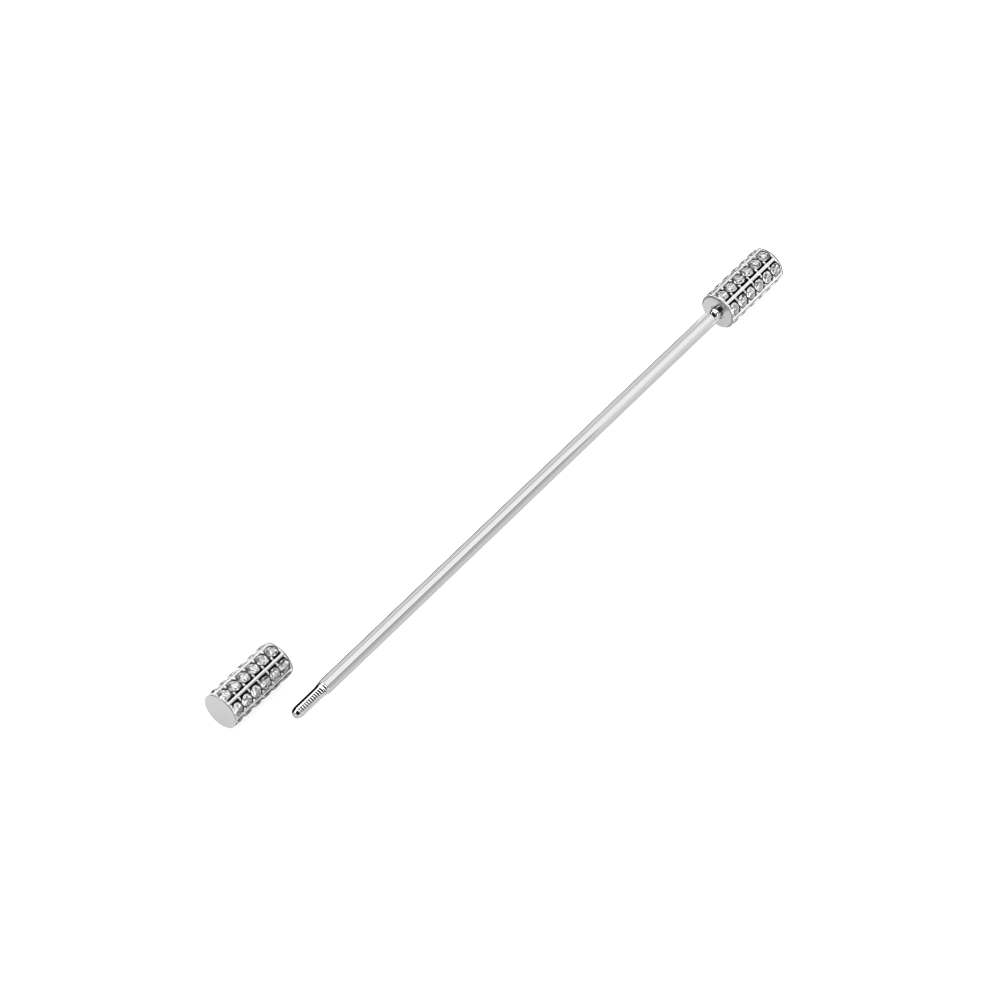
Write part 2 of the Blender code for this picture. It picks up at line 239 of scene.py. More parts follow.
def white_gold(name, dark, light, smoothest, roughest, ripple, depth, stretch=1.0, groove_shade=True):
    """White gold: two near tones, a range of gloss, and ripples to the metre with a depth."""
    material, nodes, links = new_material(name)
    shader = nodes["Principled BSDF"]
    shader.inputs["Metallic"].default_value = 1.0
    coordinates = nodes.new("ShaderNodeTexCoord").outputs["Object"]
    wide = noise(nodes, links, coordinates, ripple, WIDE_DETAIL, stretch)
    fine = noise(nodes, links, coordinates, ripple * FINE_TO_WIDE_RIPPLES, FINE_DETAIL, stretch)
    colour = colour_mix(nodes, links, fine, (*dark, 1.0), (*light, 1.0))
    # Painted shade: the metal is painted towards near black where the layer marks shade.
    if groove_shade:
        layer = nodes.new("ShaderNodeAttribute")
        layer.attribute_name = SHADE_LAYER
        colour = colour_mix(nodes, links, layer.outputs["Fac"], colour, GROOVE_SHADE_COLOUR)
    links.new(colour, shader.inputs["Base Color"])

    gloss = nodes.new("ShaderNodeMapRange")
    gloss.inputs["To Min"].default_value = smoothest
    gloss.inputs["To Max"].default_value = roughest
    links.new(fine, gloss.inputs["Value"])
    links.new(gloss.outputs["Result"], shader.inputs["Roughness"])

    bump = nodes.new("ShaderNodeBump")
    bump.inputs["Strength"].default_value = 1.0
    bump.inputs["Distance"].default_value = depth
    links.new(wide, bump.inputs["Height"])
    links.new(bump.outputs["Normal"], shader.inputs["Normal"])
    print("metal", name, "ripples a mm", ripple * MM, "microns deep", round(depth / MICRON, 2))
    return material


# %% [markdown]
# The wire is the smoothest metal, with ripples drawn out along it. The ribs are worked by hand
# and a little rougher. The flat faces are satin and painted greyer, for the shaded floor they
# mirror.
# The seats under the stones are painted dark all over as shade: hardly any light gets behind a
# stone.

# %% Mix the metals
shaft_metal = white_gold(
    "drawn_wire", dark=(0.89, 0.89, 0.9), light=(0.93, 0.93, 0.935),
    smoothest=0.03, roughest=0.08, ripple=350, depth=1.5 * MICRON, stretch=4.0,
)
setting_metal = white_gold(
    "polished_ribs", dark=(0.9, 0.9, 0.91), light=(0.95, 0.95, 0.955),
    smoothest=0.08, roughest=0.16, ripple=1500, depth=MICRON,
)
# Painted shade: the seats' near-black metal stands in for the shade behind the stones.
seat_metal = white_gold(
    "shaded_seat", dark=(0.09, 0.09, 0.09), light=(0.11, 0.11, 0.11),
    smoothest=0.2, roughest=0.3, ripple=1500, depth=MICRON, groove_shade=False,
)
# Partly painted shade: the satin faces are toned greyer for the shaded floor they mirror.
face_metal = white_gold(
    "flat_face", dark=(0.48, 0.48, 0.49), light=(0.53, 0.53, 0.54),
    smoothest=0.14, roughest=0.22, ripple=500, depth=MICRON,
)
bush_metal = white_gold(
    "threaded_bush", dark=(0.74, 0.74, 0.75), light=(0.82, 0.82, 0.83),
    smoothest=0.14, roughest=0.26, ripple=900, depth=MICRON,
)

# %% [markdown]
# The stones are clear and bend light strongly, which is what throws bright and dark facets. A
# glass shader with a high index of refraction does this by itself once the facets are right.

# %% Mix the stone
STONE_INDEX = 2.4
STONE_CLOUD_SCALE = 1500
STONE_CLOUD_DETAIL = 2.0
STONE_COOL = (0.985, 0.99, 1.0, 1.0)
STONE_WARM = (1.0, 1.0, 0.99, 1.0)


def clear_stone():
    material, nodes, links = new_material("clear_stone")
    shader = nodes["Principled BSDF"]
    shader.inputs["Roughness"].default_value = 0.0
    shader.inputs["IOR"].default_value = STONE_INDEX
    shader.inputs["Transmission Weight"].default_value = 1.0
    coordinates = nodes.new("ShaderNodeTexCoord").outputs["Object"]
    cloud = noise(nodes, links, coordinates, STONE_CLOUD_SCALE, STONE_CLOUD_DETAIL)
    tint = colour_mix(nodes, links, cloud, STONE_COOL, STONE_WARM)
    links.new(tint, shader.inputs["Base Color"])
    return material


stone_material = clear_stone()
print("stone with an index of", STONE_INDEX)

# %% [markdown]
# A lathe turns a profile into a solid, and so does this helper: it sets a ring of points at each
# step of the profile and joins the rings. A thread is a groove that winds round as it goes
# along, so the helper can also ask a function how deep the cut is at each point of a ring.

# %% Make a lathe
TURNED_SIDES = 96
SHARP_TURNED = math.radians(50)


def mesh_from(name, shape, *materials):
    """Turns a working shape into a mesh with its materials."""
    mesh = bpy.data.meshes.new(name)
    shape.to_mesh(mesh)
    shape.free()
    for material in materials:
        mesh.materials.append(material)
    return mesh


def finished_mesh(name, shape, material, sharp_angle):
    bmesh.ops.recalc_face_normals(shape, faces=shape.faces)
    mesh = mesh_from(name, shape, material)
    mesh.shade_smooth()
    mesh.set_sharp_from_angle(angle=sharp_angle)
    return mesh


def turns_round(sides, offset=0):
    return [math.tau * (side + offset) / sides for side in range(sides)]


def join_rings(shape, here, there):
    """Sets faces between two rings of points. One of the rings may be a single point."""
    sides = max(len(here), len(there))
    for side in range(sides):
        beside = (side + 1) % sides
        corners = [here[side % len(here)], here[beside % len(here)]]
        corners += [there[beside % len(there)], there[side % len(there)]]
        shape.faces.new(list(dict.fromkeys(corners)))


def lathe(name, profile, material, cut=None):
    """Turns (along X, radius) points round X. cut(x, radius, turn) moves a point in or out."""
    shape = bmesh.new()
    turns = turns_round(TURNED_SIDES)
    rings = []
    for x, radius in profile:
        if radius == 0:
            rings.append([shape.verts.new((x, 0, 0))])
            continue
        reaches = [radius + (cut(x, radius, turn) if cut else 0) for turn in turns]
        spots = [(x, r * math.cos(t), r * math.sin(t)) for r, t in zip(reaches, turns)]
        rings.append([shape.verts.new(spot) for spot in spots])
    after = rings[1:] + (rings[:1] if profile[0][1] > 0 else [])
    for here, there in zip(rings, after):
        join_rings(shape, here, there)
    return finished_mesh(name, shape, material, SHARP_TURNED)


print("lathe with", TURNED_SIDES, "sides")

# %% [markdown]
# Profiles are lists of points. A quarter round breaks a corner, and a long straight run gets
# steps in between wherever a thread has to be cut into it. Each finished piece is then set in
# place, told which body it rides on, and the imported nodes it stands in for are hidden.

# %% Draw profiles and place pieces
ROUNDING_STEPS = 8


def quarter_turns(steps):
    return [math.pi / 2 * step / steps for step in range(steps + 1)]


def rounded_corner(x, radius, along, inward):
    """Quarter-round points from the flat at x out to the full radius, along further down X."""
    return [
        (x + along * (1 - math.cos(turn)), radius - inward * (1 - math.sin(turn)))
        for turn in quarter_turns(ROUNDING_STEPS)
    ]


def steps_between(start, end, longest):
    """Points on a straight run of the profile, no further apart than the longest step."""
    count = max(1, math.ceil(abs(end[0] - start[0]) / longest))
    shares = [step / count for step in range(1, count)]
    inner = [tuple(a + (b - a) * share for a, b in zip(start, end)) for share in shares]
    return [start] + inner + [end]


def keep_painted_shade(mesh, shade_at):
    """Notes on each point of a mesh how much painted shade it gets, from 0 to 1."""
    layer = mesh.attributes.new(SHADE_LAYER, "FLOAT", "POINT")
    shades = [min(1, max(0, shade_at(vertex.co))) for vertex in mesh.vertices]
    layer.data.foreach_set("value", shades)


def place(name, mesh, matrix, body, slot, *nodes):
    """Sets a piece in place, attaches it to its body, and hides the nodes it stands for. Its slot,
    the finish, is not used.
    """
    piece = new_object(name, mesh)
    piece.matrix_world = matrix
    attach(piece, body)
    if nodes:
        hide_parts(*nodes)


print("corners rounded in", ROUNDING_STEPS, "steps")

# %% [markdown]
# The tip carries a right-hand thread, a V groove that winds along the wire. It starts softly on
# the domed tip and ends before the shoulder, where a fine relief line is turned. The groove is
# only a rule for how far each point of the lathe's rings moves in, and the same rule cuts the
# thread inside the cap. The flat on its crests and its start are shares of one pitch.

# %% Shape the thread
THREAD_LENGTH = 3.3 * MM
THREAD_RADIUS = 0.5 * MM
THREAD_PITCH = 0.2157 * MM
THREAD_DEPTH = 0.064 * MM
THREAD_FLAT = 0.06
THREAD_START = 0.3
THREAD_ENDING = 0.05 * MM
THREAD_CLEAR = 0.42 * MM
STEPS_TO_A_PITCH = 12
TIP_RADIUS = 0.1 * MM
TIP_ROUNDING = 0.46 * MM
RELIEF_PLACE = 0.19 * MM
RELIEF_HALF_WIDTH = 0.06 * MM
RELIEF_DEPTH = 0.036 * MM
LAND_LENGTH = 0.09 * MM

thread_step = THREAD_PITCH / STEPS_TO_A_PITCH


def groove_shape(x, turn):
    """From 0 on a crest to 1 at the bottom of a right-hand V groove."""
    phase = (x / THREAD_PITCH - turn / math.tau + THREAD_START) % 1
    fall = 1 - abs(2 * phase - 1)
    return min(1, max(0, (fall - THREAD_FLAT) / (1 - 2 * THREAD_FLAT)))


def thread_cut(x, radius, turn):
    """The outer thread, which starts on the domed tip, and the relief line by the shoulder."""
    if x > -LAND_LENGTH or radius < TIP_RADIUS:
        return 0
    if x > -THREAD_CLEAR:
        return -RELIEF_DEPTH * max(0, 1 - abs(x + RELIEF_PLACE) / RELIEF_HALF_WIDTH)
    ending = min(1, (-THREAD_CLEAR - x) / THREAD_ENDING)
    starting = min(1, (x + THREAD_LENGTH) / (TIP_ROUNDING / 2))
    return -THREAD_DEPTH * groove_shape(x, turn) * ending * starting


print("thread of", round((THREAD_LENGTH - THREAD_CLEAR) / THREAD_PITCH, 1), "turns")

# %% [markdown]
# The shaft is one piece of wire. A short cone leads from the thread up to the land under the
# shoulder. At its other end the wire has a waist, and a cone opens from it to the barrel's boss.
# The stud beyond the cone goes through the boss into the barrel.

# %% Turn the shaft
SHAFT_RADIUS = 0.6 * MM
SHAFT_END_ROUNDING = 0.12 * MM
LAND_RADIUS = 0.565 * MM
RUNOUT_LENGTH = 0.36 * MM
NECK_RADIUS = 0.36 * MM
NECK_WAIST = 0.25 * MM
NECK_LENGTH = 0.3 * MM
BOSS_RADIUS = 0.47 * MM
BOSS_LENGTH = 0.55 * MM
BOSS_CHAMFER = 0.05 * MM
STUD_LENGTH = 2.4 * MM

shaft_length = tip_to_head - THREAD_LENGTH
shaft_body_end = shaft_length - BOSS_LENGTH - NECK_LENGTH
shaft_place = head_place @ Matrix.Translation((-shaft_length, 0, 0))
runout_start = -LAND_LENGTH - RUNOUT_LENGTH


def shaft_profile():
    tip = rounded_corner(-THREAD_LENGTH, THREAD_RADIUS, TIP_ROUNDING, THREAD_RADIUS - TIP_RADIUS)
    threaded = steps_between(tip[-1], (runout_start, THREAD_RADIUS), thread_step)
    runout = steps_between(threaded[-1], (-LAND_LENGTH, LAND_RADIUS), thread_step)
    shoulder = [(0, LAND_RADIUS), (0, SHAFT_RADIUS)]
    rounding = rounded_corner(0, SHAFT_RADIUS, SHAFT_END_ROUNDING, SHAFT_END_ROUNDING)
    end = [(shaft_body_end - x, radius) for x, radius in reversed(rounding)]
    stud_end = shaft_length + STUD_LENGTH
    neck_end = shaft_length - BOSS_LENGTH
    neck = [(shaft_body_end, NECK_WAIST), (neck_end, BOSS_RADIUS - BOSS_CHAMFER)]
    stud = [(neck_end, NECK_RADIUS), (stud_end, NECK_RADIUS), (stud_end, 0)]
    return [(-THREAD_LENGTH, 0)] + tip + threaded[1:] + runout[1:] + shoulder + end + neck + stud


shaft_mesh = lathe("turned_shaft", shaft_profile(), shaft_metal, thread_cut)
shaft_mesh.transform(shaft_place)
place("turned_shaft", shaft_mesh, Matrix.Identity(4), "pin", "polished_white_gold", "shaft")
print("shaft", round(shaft_length / MM, 2), "mm with", len(shaft_mesh.polygons), "faces")

# %% [markdown]
# Each barrel is closed by a flat disc with a softly rounded rim, and a spigot behind it fits the
# bore. The profile goes from the middle of the flat face out over the rim and back along the
# spigot. The soldered barrel's disc is the same piece, turned to face the other way.

# %% Turn the closed discs
PLATE_EDGE_WIDTH = 0.16 * MM
PLATE_EDGE_DROP = 0.06 * MM
SPIGOT_LENGTH = 0.5 * MM
SPIGOT_CHAMFER = 0.08 * MM


def plate_edge():
    rim = rounded_corner(0, plate_radius, PLATE_EDGE_DROP, PLATE_EDGE_WIDTH)
    return rim + [(PLATE_THICKNESS, plate_radius), (PLATE_THICKNESS, spigot_radius)]


def chamfered_end(length):
    return [(length - SPIGOT_CHAMFER, spigot_radius), (length, spigot_radius - SPIGOT_CHAMFER)]


def end_plate_profile():
    depth = PLATE_THICKNESS + SPIGOT_LENGTH
    return [(0, 0)] + plate_edge() + chamfered_end(depth) + [(depth, 0)]


end_plate = lathe("end_plate", end_plate_profile(), face_metal)
far_end = Matrix.Translation((barrel_length, 0, 0)) @ Matrix.Rotation(math.pi, 4, "Z")
place("cap_closed_disc", end_plate, cap_place, "cap", "flat_white_gold", "cap_end_plate")
place(
    "head_closed_disc", end_plate, head_place @ far_end, "pin", "flat_white_gold", "head_end_plate"
)
print("discs of", round(2 * plate_radius / MM, 3), "mm across")

# %% [markdown]
# The soldered barrel has a boss round the shaft's neck and a sleeve behind it that holds the
# stud. Both belong to one turned piece, whose boss is polished like the wire while its face is
# satin, so the faces in front of the disc are given the wire's metal.

# %% Turn the boss and its sleeve
BOSS_GROOVE_DEPTH = 0.04 * MM
BOSS_GROOVE_PAST_SHAFT = 0.02 * MM
# How dark the painted shade in the groove round the boss's foot gets.
BOSS_GROOVE_SHADE = 0.3

groove_radius = SHAFT_RADIUS + BOSS_GROOVE_PAST_SHAFT


def head_bush_profile():
    bore = NECK_RADIUS + FIT_GAP
    length = STUD_LENGTH + FIT_GAP
    nose = [
        (-BOSS_LENGTH, bore),
        (-BOSS_LENGTH, BOSS_RADIUS - BOSS_CHAMFER),
        (-BOSS_LENGTH + BOSS_CHAMFER, BOSS_RADIUS),
        (BOSS_GROOVE_DEPTH, BOSS_RADIUS),
        (BOSS_GROOVE_DEPTH, groove_radius),
        (0, groove_radius),
    ]
    return nose + plate_edge() + chamfered_end(length) + [(length, bore)]


def bush_groove_shade(point):
    """The groove round the boss's foot gets painted shade."""
    in_groove = math.hypot(point.y, point.z) < groove_radius + BOSS_GROOVE_PAST_SHAFT
    return BOSS_GROOVE_SHADE * point.x / BOSS_GROOVE_DEPTH if in_groove else 0


head_bush = lathe("boss_and_sleeve", head_bush_profile(), face_metal)
head_bush.materials.append(shaft_metal)
for face in head_bush.polygons:
    face.material_index = int(face.center.x < -BOSS_CHAMFER / 2)
keep_painted_shade(head_bush, bush_groove_shade)
place("head_face_and_boss", head_bush, head_place, "pin", "flat_white_gold", "head_bush")
print("boss of", round(2 * BOSS_RADIUS / MM, 3), "mm across")

# %% [markdown]
# The cap's bush is bored a little wider than the wire's thread, and its mouth is wider still, to
# take the land under the shoulder. Here the thread is cut outwards from the bore.

# %% Tap the cap's bush
BUSH_PAST_TIP = 0.16 * MM

tapped_radius = THREAD_RADIUS + FIT_GAP
mouth_radius = LAND_RADIUS + FIT_GAP


def tapped_cut(x, radius, turn):
    """The cap's inner thread is cut outwards from its bore, past the smooth mouth."""
    inside = radius <= tapped_radius and x > RUNOUT_LENGTH
    return THREAD_DEPTH * groove_shape(x, turn) if inside else 0


def cap_bush_profile():
    length = THREAD_LENGTH + BUSH_PAST_TIP
    deep_end = (length, tapped_radius)
    mouth_end = (RUNOUT_LENGTH + LAND_LENGTH, tapped_radius)
    entry = [(LAND_LENGTH, mouth_radius), (0, mouth_radius)]
    tapped = steps_between(deep_end, mouth_end, thread_step)
    return entry + plate_edge() + chamfered_end(length) + tapped


cap_bush = lathe("tapped_sleeve", cap_bush_profile(), bush_metal, tapped_cut)
place(
    "cap_tapped_bush", cap_bush, cap_place @ far_end, "cap_core", "bush_white_gold", "cap_bush"
)
print("bush bored to", round(2 * tapped_radius / MM, 3), "mm")

# %% [markdown]
# The setting is cut from one bar. Its outline has six ribs with flat channels between, each rib
# with a rounded top. Drawing that outline out along X makes all six ribs in one step.

# %% Shape the ribbed bar
RIB_CROWN = 0.03 * MM
RIB_CROWN_STEPS = 12


def ribbed_bar():
    shape = bmesh.new()
    foot = floor_height / math.cos(half_row) - RIB_HALF_WIDTH * math.tan(half_row)
    outline = []
    for row in range(ROWS):
        frame_of_rib = Matrix.Rotation(row * row_angle + half_row, 4, "X")
        outline.append(frame_of_rib @ Vector((0, RIB_HALF_WIDTH, foot)))
        for step in range(RIB_CROWN_STEPS + 1):
            turn = math.pi * step / RIB_CROWN_STEPS
            height = rib_top - RIB_CROWN + RIB_CROWN * math.sin(turn)
            outline.append(frame_of_rib @ Vector((0, RIB_HALF_WIDTH * math.cos(turn), height)))
        outline.append(frame_of_rib @ Vector((0, -RIB_HALF_WIDTH, foot)))
    end = shape.faces.new([shape.verts.new((setting_start, p.y, p.z)) for p in outline])
    drawn = bmesh.ops.extrude_face_region(shape, geom=[end])
    drawn_out = [part for part in drawn["geom"] if isinstance(part, bmesh.types.BMVert)]
    bmesh.ops.translate(shape, verts=drawn_out, vec=(barrel_length - 2 * setting_start, 0, 0))
    return shape


print("ribs of", 2 * RIB_HALF_WIDTH / MM, "mm, tops at", round(rib_top / MM, 3))

# %% [markdown]
# A bead is a short post with a domed top that leans over the edges of the stones beside it. The
# shared beads are drawn out across the row, from the gap between two stones to the rib beside it,
# and a smaller round pair holds each end of a row.

# %% Raise the beads
BEAD_SIDES = 16
BEAD_DOME_STEPS = 4
BEAD_HALF_LENGTH = 0.105 * MM
BEAD_HALF_WIDTH = 0.17 * MM
BEAD_TO_RIB = 0.015 * MM
BEAD_TO_STONE = 0.03 * MM
BEAD_RISE = 0.11 * MM
BEAD_ROOT = 0.08 * MM
END_BEAD_RADIUS = 0.1 * MM

bead_top = girdle_height + BEAD_RISE
bead_bottom = floor_height - BEAD_ROOT


def add_rings(shape, rings, sides, matrix):
    """Adds a closed round solid through (height, radius) rings. A radius of 0 is a point."""
    turns = turns_round(sides)
    loops = []
    for height, radius in rings:
        spots = [Vector((radius * math.cos(t), radius * math.sin(t), height)) for t in turns]
        loops.append([shape.verts.new(matrix @ s) for s in (spots if radius else spots[:1])])
    for lower, upper in zip(loops, loops[1:]):
        join_rings(shape, lower, upper)
    for loop in (loops[0], loops[-1]):
        if len(loop) > 1:
            shape.faces.new(loop)


def row_frame(row, x):
    """The frame of a row: its Z points out through the row, and its origin is on the axis."""
    return Matrix.Translation((x, 0, 0)) @ Matrix.Rotation(row * row_angle, 4, "X")


def add_bead(shape, row, x, across, half_length, half_width):
    """A post with a domed top: half_length is its reach along the row, half_width across it."""
    turns = quarter_turns(BEAD_DOME_STEPS)[:-1]
    dome = [(bead_top - half_length * (1 - math.sin(t)), half_length * math.cos(t)) for t in turns]
    rings = [(bead_bottom, half_length)] + dome + [(bead_top, 0)]
    widening = Matrix.Diagonal((1, half_width / half_length, 1, 1))
    spot = row_frame(row, x) @ Matrix.Translation((0, across, 0)) @ widening
    add_rings(shape, rings, BEAD_SIDES, spot)


def bead_across(along, radius):
    """How far a bead stands from the row's middle, to clear a stone that is this far along."""
    clear = STONE_RADIUS + BEAD_TO_STONE + radius
    return math.sqrt(clear**2 - along**2)


def bead_prongs():
    shape = bmesh.new()
    shared_across = STONE_RADIUS + RIB_TO_STONE - BEAD_HALF_WIDTH - BEAD_TO_RIB
    end_x = setting_start + END_BEAD_RADIUS + FIT_GAP
    end_across = bead_across(first_stone - end_x, END_BEAD_RADIUS)
    for row in range(ROWS):
        for side in (1, -1):
            for x in stone_places[:-1]:
                middle = x + stone_pitch / 2
                across = side * shared_across
                add_bead(shape, row, middle, across, BEAD_HALF_LENGTH, BEAD_HALF_WIDTH)
            for x in (end_x, barrel_length - end_x):
                add_bead(shape, row, x, side * end_across, END_BEAD_RADIUS, END_BEAD_RADIUS)
    return shape


print("beads rise", round((bead_top - floor_height) / MM, 3), "mm from the channel")

# %% [markdown]
# Each stone sits in a cone-shaped seat that is a little deeper than its point and has the slope
# of its own pavilion. The bar is also bored right through, for the disc's spigot and the bush.

# %% Drill the seats and the bore
SEAT_SIDES = 32


def stone_seats():
    shape = bmesh.new()
    slope = STONE_RADIUS / STONE_PAVILION
    bottom = culet_height - SEAT_GAP
    top = floor_height + SEAT_GAP
    for row in range(ROWS):
        for x in stone_places:
            rings = [(bottom, 0), (top, (top - bottom) * slope)]
            add_rings(shape, rings, SEAT_SIDES, row_frame(row, x))
    return shape


def bore_core():
    shape = bmesh.new()
    sideways = Matrix.Rotation(math.pi / 2, 4, "Y")
    add_rings(shape, [(0, bore_radius), (barrel_length, bore_radius)], TURNED_SIDES, sideways)
    return shape


print("bore of", round(2 * bore_radius / MM, 3), "mm")

# %% [markdown]
# A low wall closes each end of a row. It curves with the barrel, a little below the rim of the
# plate, and round room is cut from it for the stone beside it.

# %% Close the ends of the rows
END_WALL_LENGTH = 0.15 * MM
END_WALL_HALF_TURN = math.radians(25)
END_WALL_STEPS = 10
END_WALL_BELOW_PLATE = 0.03 * MM
END_WALL_TO_STONE = 0.015 * MM
END_WALL_INSET = 0.004 * MM


def end_walls():
    """Low curved walls that close each row, from the plate to the last stone."""
    shape = bmesh.new()
    top = plate_radius - END_WALL_BELOW_PLATE
    shares = [step / END_WALL_STEPS for step in range(END_WALL_STEPS + 1)]
    turns = [END_WALL_HALF_TURN * (1 - 2 * share) for share in shares]
    outline = [(top * math.sin(turn), top * math.cos(turn)) for turn in turns]
    outline += [(bead_bottom * math.tan(turn), bead_bottom) for turn in (turns[-1], turns[0])]
    wall_start = setting_start + END_WALL_INSET
    for row in range(ROWS):
        for x in (wall_start, barrel_length - wall_start - END_WALL_LENGTH):
            matrix = row_frame(row, x)
            near = [shape.verts.new(matrix @ Vector((0, y, z))) for y, z in outline]
            far = [shape.verts.new(matrix @ Vector((END_WALL_LENGTH, y, z))) for y, z in outline]
            shape.faces.new(near)
            shape.faces.new(far)
            join_rings(shape, near, far)
    return shape


def stone_room():
    """Round room for the first and the last stone of each row, cut from the end walls."""
    shape = bmesh.new()
    radius = STONE_RADIUS + END_WALL_TO_STONE
    for row in range(ROWS):
        for x in (stone_places[0], stone_places[-1]):
            rings = [(floor_height, radius), (girdle_height + 2 * BEAD_RISE, radius)]
            add_rings(shape, rings, SEAT_SIDES, row_frame(row, x))
    return shape


print("end walls stand", round((plate_radius - END_WALL_BELOW_PLATE) / MM, 3), "mm from the axis")

# %% [markdown]
# Booleans join the parts and drill the seats, as solder and a burr would. The exact solver does
# it without leaving gaps, and it keeps the finish of each tool's faces, so the drilled seats come
# out in the seat metal's painted shade. One setting serves both barrels, because they are twins.

# %% Cut the setting
SHARP_SETTING = math.radians(35)
POLISHED = 0
DRILLED = 1


def work_object(name, shape, finish=POLISHED):
    bmesh.ops.recalc_face_normals(shape, faces=shape.faces)
    mesh = mesh_from(name, shape, setting_metal, seat_metal)
    for face in mesh.polygons:
        face.material_index = finish
    return new_object(name, mesh)


def boolean(target, cutter, operation):
    step = target.modifiers.new(operation.lower(), "BOOLEAN")
    step.operation = operation
    step.solver = "EXACT"
    step.object = cutter
    bpy.context.view_layer.update()
    graph = bpy.context.evaluated_depsgraph_get()
    result = bpy.data.meshes.new_from_object(target.evaluated_get(graph))
    target.modifiers.remove(step)
    target.data = result
    bpy.data.objects.remove(cutter, do_unlink=True)


def setting_mesh():
    walls = work_object("end_walls", end_walls())
    boolean(walls, work_object("stone_room", stone_room()), "DIFFERENCE")
    setting = work_object("setting_work", ribbed_bar())
    boolean(setting, work_object("bead_prongs", bead_prongs()), "UNION")
    boolean(setting, walls, "UNION")
    boolean(setting, work_object("bore_core", bore_core()), "DIFFERENCE")
    boolean(setting, work_object("stone_seats", stone_seats(), DRILLED), "DIFFERENCE")
    mesh = setting.data
    bpy.data.objects.remove(setting, do_unlink=True)
    mesh.name = "pave_setting"
    mesh.shade_smooth()
    mesh.set_sharp_from_angle(angle=SHARP_SETTING)
    return mesh


setting = setting_mesh()
print("materials on the setting", [material.name for material in setting.materials])
print("setting with", len(setting.polygons), "faces")

# %% [markdown]
# The channel floors and the roots of the ribs and beads get painted shade, since little light
# reaches them. That is what draws the black line round each stone. A point's height along the
# nearest rib or row says how dark it is painted.

# %% Darken the roots and place the settings
# Heights between which the painted shade on ribs and beads fades out.
RIB_DARK_BELOW = 1.23 * MM
RIB_BRIGHT_ABOVE = 1.28 * MM
BEAD_DARK_BELOW = 1.2 * MM
BEAD_BRIGHT_ABOVE = 1.3 * MM


def height_along(point, first_turn):
    """How far a point lies from the axis, along the nearest of six spokes round it."""
    turn = math.atan2(-point.y, point.z) - first_turn
    off_spoke = turn - row_angle * round(turn / row_angle)
    return math.hypot(point.y, point.z) * math.cos(off_spoke)


def darkness(height, dark_below, bright_above):
    """Falls from 1 to 0 between two heights."""
    return (bright_above - height) / (bright_above - dark_below)


def setting_painted_shade(point):
    """Ribs and beads get painted shade at the root and are bright above, each from its own height
    up.
    """
    rib = darkness(height_along(point, half_row), RIB_DARK_BELOW, RIB_BRIGHT_ABOVE)
    bead = darkness(height_along(point, 0), BEAD_DARK_BELOW, BEAD_BRIGHT_ABOVE)
    return min(rib, bead)


keep_painted_shade(setting, setting_painted_shade)
place("head_pave", setting, head_place, "pin", "cut_white_gold", "head_setting")
place("cap_pave", setting, cap_place, "cap", "cut_white_gold", "cap_setting")
print("ribs bright above", round(RIB_BRIGHT_ABOVE / MM, 3), "mm from the axis")

# %% [markdown]
# A round brilliant has a table, eight star facets, eight kites and sixteen small facets above the
# girdle, and as many mains and halves below it. All of them follow from a few sizes. A kite is
# flat only if its side corners lie on the plane through its tip and its foot, so the heights of
# those corners are worked out from that plane.

# %% Cut a brilliant
STONE_TABLE_RADIUS = 0.27 * MM
STAR_RADIUS = 0.385 * MM
LOWER_HALF_RADIUS = 0.11 * MM
STONE_SCALE = 0.96
MAINS = 8
HALVES = 2 * MAINS


def brilliant_mesh():
    shape = bmesh.new()
    half_girdle = STONE_GIRDLE / 2
    flat_share = math.cos(math.pi / MAINS)

    def ring(radius, height, count, offset=0):
        turns = turns_round(count, offset)
        return [
            shape.verts.new((radius * math.cos(t), radius * math.sin(t), height)) for t in turns
        ]

    crown_slope = STONE_CROWN / (STONE_RADIUS - STONE_TABLE_RADIUS)
    star_height = half_girdle + crown_slope * (STONE_RADIUS - STAR_RADIUS * flat_share)
    main_slope = STONE_PAVILION / STONE_RADIUS
    half_depth = main_slope * (STONE_RADIUS - LOWER_HALF_RADIUS * flat_share)

    table = ring(STONE_TABLE_RADIUS, half_girdle + STONE_CROWN, MAINS)
    star = ring(STAR_RADIUS, star_height, MAINS, 0.5)
    upper = ring(STONE_RADIUS, half_girdle, HALVES)
    lower = ring(STONE_RADIUS, -half_girdle, HALVES)
    half = ring(LOWER_HALF_RADIUS, -half_girdle - half_depth, MAINS, 0.5)
    culet = shape.verts.new((0, 0, -half_girdle - STONE_PAVILION))

    shape.faces.new(table)
    for main in range(MAINS):
        after = (main + 1) % MAINS
        before = (main - 1) % MAINS
        foot = 2 * main
        middle = foot + 1
        last = (foot + 2) % HALVES
        shape.faces.new((table[main], star[main], table[after]))
        shape.faces.new((table[main], star[before], upper[foot], star[main]))
        shape.faces.new((star[main], upper[foot], upper[middle]))
        shape.faces.new((star[main], upper[middle], upper[last]))
        shape.faces.new((culet, half[before], lower[foot], half[main]))
        shape.faces.new((half[main], lower[foot], lower[middle]))
        shape.faces.new((half[main], lower[middle], lower[last]))
    join_rings(shape, upper, lower)
    bmesh.ops.scale(shape, verts=shape.verts, vec=(STONE_SCALE, STONE_SCALE, STONE_SCALE))
    mesh = finished_mesh("brilliant", shape, stone_material, 0)
    mesh.shade_flat()
    return mesh


brilliant = brilliant_mesh()
print("brilliant with", len(brilliant.polygons), "facets")

# %% [markdown]
# The stones are set in rows, each at its own turn and with a hair of tilt, because no setter gets
# thirty-six stones exactly alike. The turns follow a fixed rule, so each run gives the same pin.

# %% Set the stones
ROW_NAMES = ["top", "front_upper", "front_lower", "bottom", "back_lower", "back_upper"]
JOINED_ROWS = ["bottom", "back_lower"]
TURN_STEP = math.radians(137.5)
TILT = math.radians(0.8)


